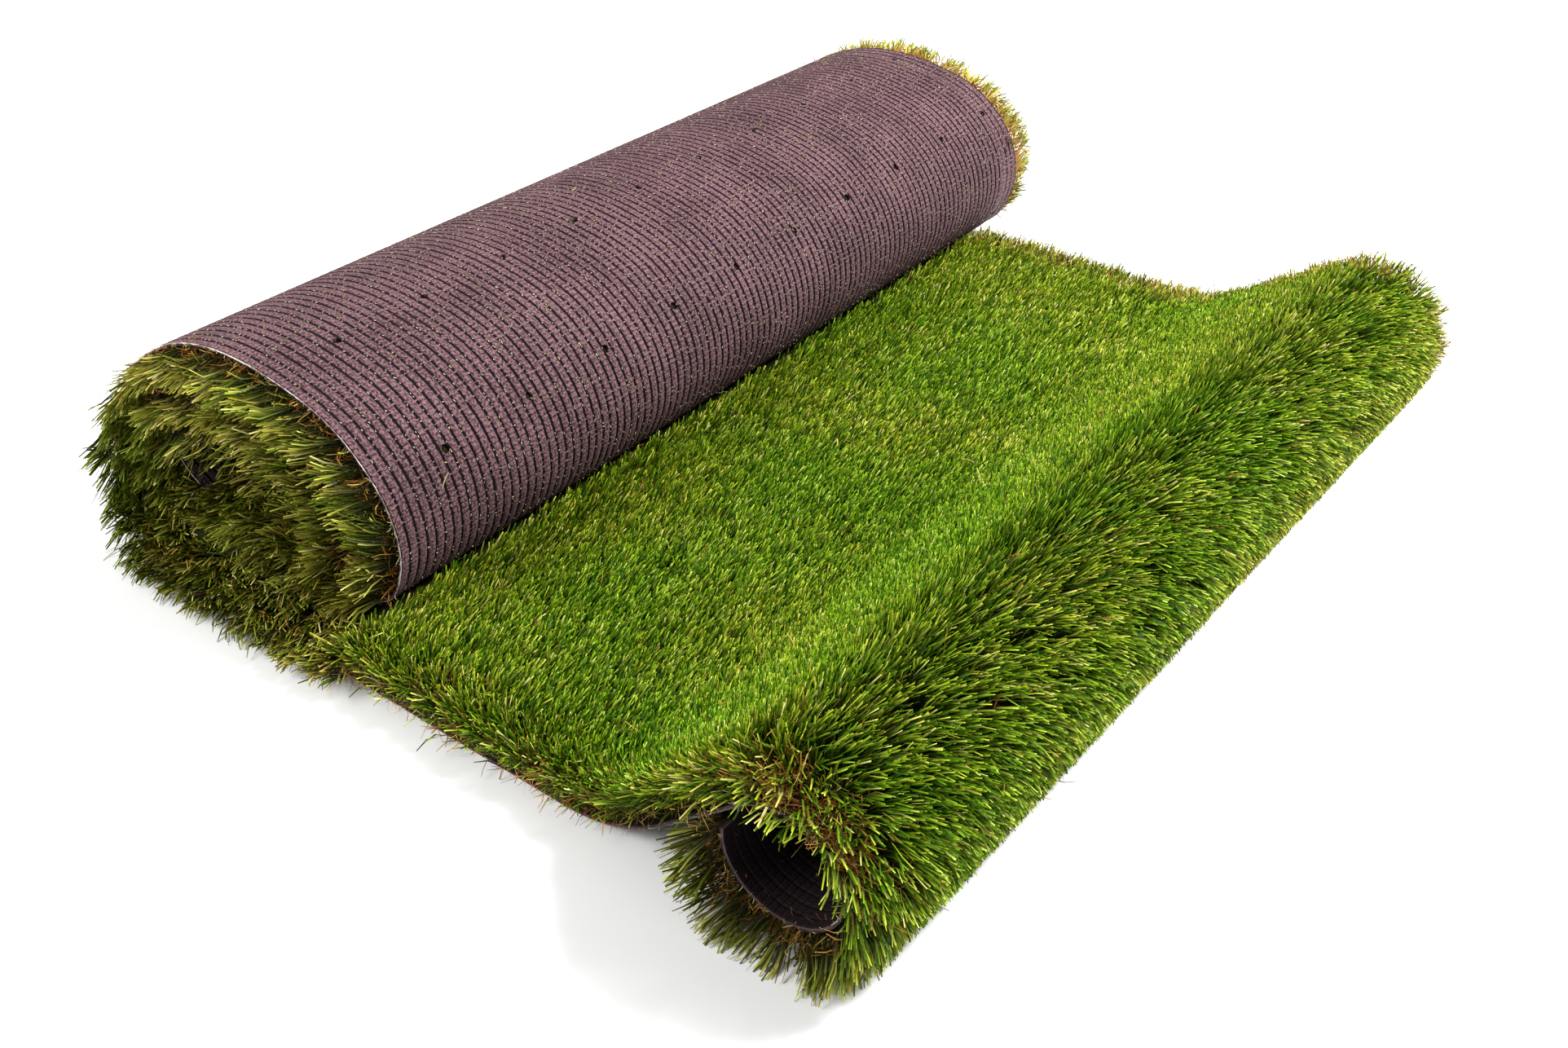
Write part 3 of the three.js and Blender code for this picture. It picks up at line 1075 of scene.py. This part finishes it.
@dataclass
class PileGrower:
    """Grows the pile in tufts along the stitch rows."""

    path: SheetPath
    seed: int
    tuft_pitch: float = 0.0085
    tuft_radius: float = 0.0034
    blade_length: float = 0.047
    blade_width: float = 0.0015
    bend_share: float = 0.71
    tip_share: float = 0.65
    tuft_turn: float = 0.10
    own_turn: float = 0.20
    end_clumping: float = 2.4
    end_looseness: float = 0.9
    mark_jitter: float = 0.45
    row_jitter: float = 0.0014
    tuft_oval: float = 1.3
    lawn_lengths: tuple[float, float] = (0.80, 1.06)
    end_lengths: tuple[float, float] = (0.80, 1.10)
    edge_power: float = 1.3
    side_room: float = 0.038
    least_room: float = 0.004
    hidden_stage: float = 2.5
    hidden_insets: tuple[float, float] = (0.10, 0.06)
    hidden_share: float = 0.35
    core_stretch: float = 0.32
    core_share: float = 0.12
    near_limit: float = field(init=False)
    far_limit: float = field(init=False)

    def __post_init__(self) -> None:
        """Finds how far blades may reach past the side edges."""
        low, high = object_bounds()
        self.near_limit = low.y - self.side_room
        self.far_limit = high.y + self.side_room
        self.rng = np.random.default_rng(self.seed)

    def tufts(
        self, start: float, end: float, near: float, far: float, per_tuft: int
    ) -> tuple[np.ndarray, np.ndarray, np.ndarray]:
        """Sets out tufts on the stitch rows of one stretch.

        Args:
            start: the stretch's first length along the sheet.
            end: its last length.
            near: its first place across the sheet.
            far: its last place across the sheet.
            per_tuft: how many blades a tuft has.

        Returns:
            The length, the place across and the tuft number of each blade.
        """
        rng, pitch = self.rng, self.path.sheet.stitch_pitch
        rows = np.arange(math.ceil(near / pitch), math.floor(far / pitch) + 1) * pitch
        marks = np.arange(start, end, self.tuft_pitch)
        length, across = (grid.ravel() for grid in np.meshgrid(marks, rows, indexing="ij"))
        length = length + rng.uniform(-self.mark_jitter, self.mark_jitter, len(length)) * self.tuft_pitch
        across = across + rng.normal(0, self.row_jitter, len(across))
        tuft = np.repeat(np.arange(len(length)), per_tuft)
        angle = rng.uniform(0, TURN, len(tuft))
        radius = self.tuft_radius * np.sqrt(rng.uniform(0, 1, len(tuft)))
        return (
            np.clip(length[tuft] + radius * np.cos(angle), start, end),
            np.clip(across[tuft] + radius * np.sin(angle) * self.tuft_oval, near, far),
            tuft,
        )

    def turns(self, tuft: np.ndarray, shared_by: float = 1.0, own_by: float = 1.0) -> np.ndarray:
        """Returns a random lean for each blade, partly shared by its tuft."""
        shared = self.rng.normal(0, 1, (tuft.max() + 1, 3))[tuft] * self.tuft_turn
        own = self.rng.normal(0, 1, (len(tuft), 3)) * self.own_turn
        return shared * shared_by + own * own_by

    def lawn(self, stages: tuple[float, float], near: float, far: float, per_tuft: int) -> Blades:
        """Grows the pile of the free part between two stages.

        Args:
            stages: the stretch's first and last stage.
            near: its first place across the sheet.
            far: its last place across the sheet.
            per_tuft: how many blades a tuft has.

        Returns:
            The blades.
        """
        path, rng, sheet = self.path, self.rng, self.path.sheet
        start, end = (path.stage_length(stage) for stage in stages)
        length, across, tuft = self.tufts(start, end, near, far, per_tuft)
        stage = path.places(length, across).stage
        near_inset, far_inset = self.hidden_insets
        hidden = (stage > self.hidden_stage) & (across > near_inset) & (across < sheet.width - far_inset)
        shown = ~hidden | (rng.random(len(tuft)) < self.hidden_share)
        length, across, tuft = length[shown], across[shown], tuft[shown]
        spots = path.places(length, across)
        keys = [key.stage for key in LAWN_NAP]

        def nap(name: str) -> np.ndarray:
            return np.interp(spots.stage, keys, [getattr(key, name) for key in LAWN_NAP])[:, None]

        near_edge = np.clip(1 - across / sheet.flare_depth, 0, 1)[:, None] ** self.edge_power
        from_far = sheet.width - across
        far_edge = np.clip(1 - from_far / sheet.flare_depth, 0, 1)[:, None] ** self.edge_power
        inner = 1 - np.maximum(near_edge, far_edge)
        out = ACROSS * (far_edge * nap("far_out") - near_edge * nap("near_out"))
        firmness = (far_edge * nap("far_out") + near_edge * nap("near_out")) * 0.7
        lean = spots.along * nap("along") * (0.3 + 0.7 * inner) + ACROSS * nap("across") * inner
        turns = self.turns(tuft) * (1 + 0.7 * (1 - inner))
        rising = unit(spots.pile + lean * 0.25 + out * firmness + turns * 0.6)
        hang = UPWARD * nap("near_hang") * near_edge
        falling = unit(spots.pile * nap("upright") + lean + out - hang + turns)
        size = self.blade_length * rng.uniform(*self.lawn_lengths, len(tuft))
        edge_dry = np.maximum(near_edge * 0.20, far_edge * 0.70)[:, 0]
        dryness = np.maximum(nap("dry")[:, 0], edge_dry)
        return self._blades(spots, rising, falling, size, tuft, dryness)

    def roll_end(self, end: End, depth: float, per_tuft: int) -> Blades:
        """Grows the pile that spills out of one end of the roll.

        Args:
            end: which end.
            depth: how far into the roll it is grown.
            per_tuft: how many blades a tuft has.

        Returns:
            The blades.
        """
        path, rng, nap = self.path, self.rng, END_NAPS[end]
        width = path.sheet.width
        near, far = (0.0, depth) if end is End.NEAR else (width - depth, width)
        length, across, tuft = self.tufts(0.0, path.stage_length(-1.0), near, far, per_tuft)
        shown = (length > self.core_stretch) | (rng.random(len(tuft)) < self.core_share)
        length, across, tuft = length[shown], across[shown], tuft[shown]
        spots = path.places(length, across)
        inside = (across if end is End.NEAR else width - across)[:, None] / depth
        out = ACROSS * end.value * (1 - 0.55 * inside)
        inward = nap.inward + nap.deeper * inside
        turns = self.turns(tuft, self.end_clumping, self.end_looseness)
        rising = unit(spots.pile * inward + out * 0.85 + spots.along * 0.20 + turns * 0.7)
        falling = unit(spots.pile * nap.tip_inward + out * 0.85 + spots.along * nap.tip_along + turns)
        size = self.blade_length * rng.uniform(*self.end_lengths, len(tuft))
        return self._blades(spots, rising, falling, size, tuft, np.full(len(tuft), nap.dry))

    def _blades(
        self,
        spots: Places,
        rising: np.ndarray,
        falling: np.ndarray,
        size: np.ndarray,
        tuft: np.ndarray,
        dryness: np.ndarray,
    ) -> Blades:
        """Limits blades to the pile's height, keeps them off the backing and gives them looks.

        Args:
            spots: where they stand.
            rising: the direction of their lower part.
            falling: the direction of their upper part.
            size: their lengths.
            tuft: the tuft that each belongs to.
            dryness: the share of dry blades at each.

        Returns:
            The blades.
        """
        rng, sheet = self.rng, self.path.sheet
        room = np.maximum(spots.reach - sheet.foot, self.least_room)[:, None]
        lower, upper = (size * self.bend_share)[:, None], (size * (1 - self.bend_share))[:, None]
        height = dots(rising * lower + falling * upper, spots.pile)
        spare = np.minimum(room / np.maximum(height, 1e-6), 1.0)
        rising = rising - spots.pile * dots(rising, spots.pile) * (1 - spare)
        falling = falling - spots.pile * dots(falling, spots.pile) * (1 - spare)
        rising = rising + spots.normal * np.maximum(0.05 - dots(rising, spots.normal), 0)
        over_edge = spots.across[:, None] + rising[:, 1:2] * lower
        on_sheet = (over_edge > 0.0) & (over_edge < sheet.width)
        sunk = np.maximum(0.02 - dots(falling, spots.normal), 0)
        falling = falling + spots.normal * sunk * on_sheet
        tint = rng.beta(1.3, 1.4, len(tuft)) + rng.normal(0, 0.07, tuft.max() + 1)[tuft]
        dried = rng.random(len(tuft)) < dryness
        straw = rng.uniform(0.45, 1.0, len(tuft))
        fresh = rng.uniform(0.0, 0.10, len(tuft)) + dryness * 0.4
        dry = np.where(dried, straw, fresh)
        return Blades(
            root=spots.under + spots.normal * sheet.foot,
            rising=rising,
            falling=falling,
            length=size,
            width=self.blade_width * rng.uniform(0.8, 1.2, len(tuft)),
            tint=np.clip(tint, 0.0, 1.0),
            dry=np.clip(dry, 0.0, 1.0),
        )

    def shaped(self, name: str, blades: Blades, finish: bpy.types.Material) -> bpy.types.Object:
        """Makes each blade a thin strip with a pinched root, a bend and a blunt tip.

        Args:
            name: the piece's name.
            blades: the blades.
            finish: their material.

        Returns:
            The piece.
        """
        rng = self.rng
        count = len(blades.length)
        size = blades.length[:, None]
        middle = blades.root + blades.rising * size * self.bend_share
        tip = middle + blades.falling * size * (1 - self.bend_share)
        facing = np.cross(blades.rising, blades.falling + rng.normal(0, 0.5, (count, 3)))
        half = unit(facing) * blades.width[:, None] / 2
        tip_half = half * self.tip_share
        places = [blades.root, middle - half, middle + half, tip - tip_half, tip + tip_half]
        corners = np.stack(places, axis=1)
        corners[..., 1] = np.clip(corners[..., 1], self.near_limit, self.far_limit)
        corners[..., 2] = np.maximum(corners[..., 2], FLOOR_GAP)
        grown = np.array([[0.0, self.bend_share, self.bend_share, 1.0, 1.0]])
        looks = {"tint": blades.tint, "dry": blades.dry, "grown": np.repeat(grown, count, axis=0)}
        return joined_copies(name, corners, ((0, 2, 1), (1, 2, 4, 3)), looks, finish)


@dataclass
class Pile:
    """All the blades of the sheet, in pieces that stay light enough to handle."""

    path: SheetPath
    flat_blades: int = 21
    hump_blades: int = 20
    end_blades: int = 16
    end_depth: float = 0.045

    def build(self) -> None:
        """Grows the lawn, the hump, the curl and the two ends of the roll."""
        finish = LAWN_FINISH.make()
        grower = PileGrower(self.path, seed=11)
        width = self.path.sheet.width
        stretches = (("lawn", (-1.0, 0.9), self.flat_blades), ("hump", (0.9, 3.0), self.hump_blades))
        for kind, stages, per_tuft in stretches:
            for number in range(3):
                near, far = width * number / 3, width * (number + 1) / 3
                blades = grower.lawn(stages, near, far, per_tuft)
                keep_piece(grower.shaped(f"{kind}_blades_{number + 1}", blades, finish), Slot.PILE)
        for end in End:
            blades = grower.roll_end(end, self.end_depth, self.end_blades)
            look = finish if end is End.NEAR else FRINGE_FINISH.make()
            keep_piece(grower.shaped(f"roll_end_blades_{end.name.lower()}", blades, look), Slot.PILE)


def ribbon_faces(spans: int) -> Faces:
    """Returns the faces of a ribbon whose corners come in pairs."""
    return tuple((2 * span, 2 * span + 1, 2 * span + 3, 2 * span + 2) for span in range(spans))


@dataclass
class StrandMaker:
    """Makes curled ribbons, such as thatch fibres, frays and loose threads."""

    seed: int
    spans: int
    curl: float
    jitter: float = 0.15

    def __post_init__(self) -> None:
        """Starts the random draws."""
        self.rng = np.random.default_rng(self.seed)

    def shaped(
        self, name: str, root: np.ndarray, heading: np.ndarray, length: np.ndarray, width: float,
        finish: bpy.types.Material,
    ) -> bpy.types.Object:
        """Makes one ribbon from each root.

        Args:
            name: the piece's name.
            root: where each ribbon starts.
            heading: the way it sets out.
            length: how long it is.
            width: how wide the ribbons are.
            finish: their material.

        Returns:
            The piece.
        """
        rng = self.rng
        count = len(root)
        axis = unit(rng.normal(0, 1, (count, 3)))
        bend = self.curl / self.spans * rng.uniform(0.3, 1.6, (count, 1))
        facing = unit(np.cross(heading, rng.normal(0, 1, (count, 3)))) * width / 2
        place, pairs = root, []
        for span in range(self.spans + 1):
            narrow = 1.0 - 0.5 * (span / self.spans) ** 2
            pairs += [place - facing * narrow, place + facing * narrow]
            heading = unit(heading + np.cross(axis, heading) * bend + rng.normal(0, self.jitter, (count, 3)))
            place = place + heading * length[:, None] / self.spans
        corners = np.stack(pairs, axis=1)
        corners[..., 2] = np.maximum(corners[..., 2], FLOOR_GAP)
        grown = np.repeat(np.linspace(0.35, 1.0, self.spans + 1), 2)[None, :]
        looks = {"tint": rng.beta(1.6, 1.6, count), "grown": np.repeat(grown, count, axis=0)}
        return joined_copies(name, corners, ribbon_faces(self.spans), looks, finish)


@dataclass(frozen=True)
class ThatchBed:
    """Where one bed of thatch lies, how high in the pile, and how far it is drawn out sideways."""

    stages: tuple[float, float]
    across: tuple[float, float]
    heights: tuple[float, float]
    out: float
    count: int


@dataclass
class Thatch:
    """The curled brown fibres between the blades, thickest at the cut edges."""

    path: SheetPath
    fibre_width: float = 0.0010
    lengths: tuple[float, float] = (0.012, 0.028)
    edge_power: float = 1.3
    wildness: float = 0.50
    upright: float = 0.35
    least_upright: float = 0.25
    beds: tuple[ThatchBed, ...] = (
        ThatchBed((-1.0, 1.6), (0.0, 0.036), (0.10, 0.55), -0.45, 2400),
        ThatchBed((1.6, 2.42), (0.0, 0.026), (0.10, 0.50), -0.70, 1000),
        ThatchBed((2.45, 3.0), (0.0, 0.030), (0.10, 0.45), -0.90, 700),
        ThatchBed((-1.72, -1.0), (0.0, 0.012), (0.0, 0.30), -1.60, 3200),
        ThatchBed((-1.0, 2.4), (1.0, 0.960), (0.20, 0.85), 0.90, 2400),
        ThatchBed((-2.0, -1.0), (1.0, 0.985), (0.0, 0.35), 1.60, 4200),
        ThatchBed((-1.0, 2.5), (0.05, 0.95), (0.40, 0.75), 0.10, 1500),
    )

    def build(self) -> None:
        """Lays the fibres of every bed in one piece."""
        path, sheet = self.path, self.path.sheet
        maker = StrandMaker(seed=31, spans=3, curl=1.7)
        rng = maker.rng
        roots, headings = [], []
        for bed in self.beds:
            start, end = (path.stage_length(stage) for stage in bed.stages)
            depth = rng.random(bed.count) ** self.edge_power
            across = bed.across[0] + (bed.across[1] - bed.across[0]) * depth
            spots = path.places(rng.uniform(start, end, bed.count), across)
            height = (spots.reach - sheet.foot) * rng.uniform(*bed.heights, bed.count)
            roots.append(spots.under + spots.normal * sheet.foot + spots.pile * height[:, None])
            wild = rng.normal(0, self.wildness, (bed.count, 3))
            out = ACROSS * bed.out * (1.2 - depth)[:, None]
            heading = unit(out + spots.pile * self.upright + wild)
            sunk = np.maximum(self.least_upright - dots(heading, spots.normal), 0)
            headings.append(heading + spots.normal * sunk)
        root, heading = np.concatenate(roots), np.concatenate(headings)
        length = rng.uniform(*self.lengths, len(root))
        piece = maker.shaped("edge_thatch", root, heading, length, self.fibre_width, THATCH_FINISH.make())
        keep_piece(piece, Slot.PILE)


@dataclass
class BackingThreads:
    """The flecks of yarn in the stitch rows, the frays of the cut edges and some stray threads."""

    path: SheetPath
    threaded_turns: float = 0.98
    fleck_count: int = 6000
    fleck_length: tuple[float, float] = (0.0015, 0.0038)
    fleck_width: float = 0.0010
    fleck_height: float = 0.0008
    fleck_lift: float = 0.0001
    fleck_row_jitter: float = 0.0003
    fleck_turn_jitter: float = 0.20
    fleck_along_share: float = 0.88
    fray_count: int = 900
    fray_near_share: float = 0.7
    fray_length: tuple[float, float] = (0.002, 0.008)
    fray_width: float = 0.0005
    stray_count: int = 26
    stray_length: tuple[float, float] = (0.018, 0.042)
    stray_width: float = 0.0006
    stray_lift: float = 0.0008

    def build(self) -> None:
        """Adds the flecks, the frays and the stray threads."""
        finish = THREAD_FINISH.make()
        self._flecks(finish)
        self._frays(finish)
        self._strays(finish)

    def _outer_turn(self, rng: np.random.Generator, count: int) -> np.ndarray:
        """Returns random lengths along the sheet that lie in the roll's outer turn."""
        path = self.path
        start = path.length_of(path.wound_count - self.threaded_turns * path.STATIONS_PER_TURN)
        return rng.uniform(start, path.length_of(path.wound_count), count)

    def _flecks(self, finish: bpy.types.Material) -> None:
        """Adds small slivers of yarn where the stitch rows show."""
        rng = np.random.default_rng(41)
        count, pitch = self.fleck_count, self.path.sheet.stitch_pitch
        rows = rng.integers(1, int(self.path.sheet.width / pitch), count)
        length = self._outer_turn(rng, count)
        spots = self.path.places(length, rows * pitch + rng.normal(0, self.fleck_row_jitter, count))
        turn = np.where(rng.random(count) < self.fleck_along_share, 0.0, math.pi / 2)
        turn = turn + rng.normal(0, self.fleck_turn_jitter, count)
        long_way = spots.along * np.cos(turn)[:, None] + ACROSS * np.sin(turn)[:, None]
        wide_way = np.cross(spots.normal, long_way)
        half = rng.uniform(*self.fleck_length, count)[:, None, None] / 2
        bm = bmesh.new()
        bmesh.ops.create_uvsphere(bm, u_segments=4, v_segments=2, radius=1.0)
        shape = np.array([vert.co[:] for vert in bm.verts])
        faces = tuple(tuple(vert.index for vert in face.verts) for face in bm.faces)
        bm.free()
        corners = (
            (spots.under - spots.normal * self.fleck_lift)[:, None, :]
            + shape[None, :, 0:1] * long_way[:, None, :] * half
            + shape[None, :, 1:2] * wide_way[:, None, :] * self.fleck_width / 2
            + shape[None, :, 2:3] * spots.normal[:, None, :] * self.fleck_height / 2
        )
        corners[..., 2] = np.maximum(corners[..., 2], FLOOR_GAP)
        looks = {"tint": rng.beta(1.2, 1.2, count), "grown": rng.uniform(0.5, 1.0, count)}
        keep_piece(joined_copies("stitch_flecks", corners, faces, looks, finish), Slot.BACKING)

    def _frays(self, finish: bpy.types.Material) -> None:
        """Adds short threads that stand out of the cut edges."""
        maker = StrandMaker(seed=43, spans=2, curl=1.2, jitter=0.3)
        rng, sheet = maker.rng, self.path.sheet
        near = rng.random(self.fray_count) < self.fray_near_share
        spots = self.path.places(
            rng.uniform(0, self.path.whole_length, self.fray_count), np.where(near, 0.0, sheet.width)
        )
        root = spots.under + spots.normal * rng.uniform(0.1, 0.9, (self.fray_count, 1)) * sheet.backing
        out = ACROSS * np.where(near, -1.0, 1.0)[:, None]
        heading = unit(out * 0.8 + rng.normal(0, 0.5, (self.fray_count, 3)) - spots.normal * 0.2)
        length = rng.uniform(*self.fray_length, self.fray_count)
        piece = maker.shaped("edge_frays", root, heading, length, self.fray_width, finish)
        keep_piece(piece, Slot.BACKING)

    def _strays(self, finish: bpy.types.Material) -> None:
        """Adds a few long pale threads that lie on the roll."""
        maker = StrandMaker(seed=47, spans=8, curl=2.0, jitter=0.05)
        rng = maker.rng
        count = self.stray_count
        length = self._outer_turn(rng, count)
        spots = self.path.places(length, rng.uniform(0.05, 0.95, count))
        angle = rng.uniform(0, TURN, count)[:, None]
        heading = unit(spots.along * np.cos(angle) + ACROSS * np.sin(angle) - spots.normal * 0.15)
        root = spots.under - spots.normal * self.stray_lift
        size = rng.uniform(*self.stray_length, count)
        piece = maker.shaped("stray_threads", root, heading, size, self.stray_width, finish)
        keep_piece(piece, Slot.BACKING)


@dataclass(frozen=True)
class Lamp:
    """A square soft light."""

    name: str
    place: tuple[float, float, float]
    size: float
    power: float


@dataclass(frozen=True)
class Studio:
    """The pale floor, the soft light and the camera."""

    camera_place: tuple[float, float, float] = (0.73985, -1.0712, 0.8184)
    camera_azimuth: float = math.radians(36.539)
    camera_pitch: float = math.radians(34.994)
    camera_roll: float = math.radians(0.393)
    lens: float = 34.60
    floor_size: float = 14.0
    floor_colour: Colour = (0.92, 0.92, 0.92)
    sky: float = 0.45
    lamps: tuple[Lamp, ...] = (
        Lamp("key_light", (1.5, 1.3, 2.5), 1.0, 190.0),
        Lamp("front_light", (-1.3, -2.2, 1.7), 1.4, 80.0),
    )
    lamp_aim: tuple[float, float, float] = (0.0, 0.0, 0.1)

    def camera(self) -> None:
        """Adds the camera at the photograph's viewing angle."""
        azimuth, pitch, roll = self.camera_azimuth, self.camera_pitch, self.camera_roll
        reach = math.cos(pitch)
        ahead = Vector((-math.sin(azimuth) * reach, math.cos(azimuth) * reach, -math.sin(pitch)))
        level = Vector((math.cos(azimuth), math.sin(azimuth), 0.0))
        lift = level.cross(ahead)
        right = level * math.cos(roll) + lift * math.sin(roll)
        upward = lift * math.cos(roll) - level * math.sin(roll)
        data = bpy.data.cameras.new("photo_camera")
        data.lens = self.lens
        data.sensor_width = 36.0
        data.clip_start = 0.01
        camera = scene_object("photo_camera", data)
        turn = Matrix((right, upward, -ahead)).transposed().to_4x4()
        camera.matrix_world = Matrix.Translation(self.camera_place) @ turn
        bpy.context.scene.camera = camera

    def floor(self) -> None:
        """Adds the floor."""
        bm = bmesh.new()
        bmesh.ops.create_grid(bm, x_segments=1, y_segments=1, size=self.floor_size / 2)
        mesh = bpy.data.meshes.new("studio_floor")
        bm.to_mesh(mesh)
        bm.free()
        pad = NodePad("studio_floor")
        pad.set(pad.shader, Roughness=0.9)
        pad.shader.inputs["Base Color"].default_value = (*self.floor_colour, 1.0)
        mesh.materials.append(pad.material)
        scene_object("studio_floor", mesh)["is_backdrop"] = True

    def light(self, lamp: Lamp) -> None:
        """Adds a lamp that faces the middle of the object."""
        data = bpy.data.lights.new(lamp.name, "AREA")
        data.shape = "SQUARE"
        data.size = lamp.size
        data.energy = lamp.power
        light = scene_object(lamp.name, data)
        light.location = lamp.place
        facing = Vector(self.lamp_aim) - Vector(lamp.place)
        light.rotation_euler = facing.to_track_quat("-Z", "Y").to_euler()

    def build(self) -> None:
        """Builds the studio."""
        self.camera()
        self.floor()
        for lamp in self.lamps:
            self.light(lamp)
        world = bpy.data.worlds.new("studio_world")
        world.use_nodes = True
        background = world.node_tree.nodes["Background"]
        background.inputs["Color"].default_value = (1.0, 1.0, 1.0, 1.0)
        background.inputs["Strength"].default_value = self.sky
        bpy.context.scene.world = world
        bpy.context.scene.view_settings.view_transform = "Standard"


def main() -> None:
    """Loads the frame, dresses the sheet and writes how large it came out."""
    logging.basicConfig(level=logging.INFO, format="%(name)s: %(message)s")
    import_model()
    Studio().build()
    path = SheetPath(SheetSizes(), RollSizes())
    log.info("sheet %.3f m long", path.whole_length)
    backing = Backing(path).build()
    PileMat(path).build()
    Pile(path).build()
    Thatch(path).build()
    BackingThreads(path).build()


if __name__ == "__main__":
    main()
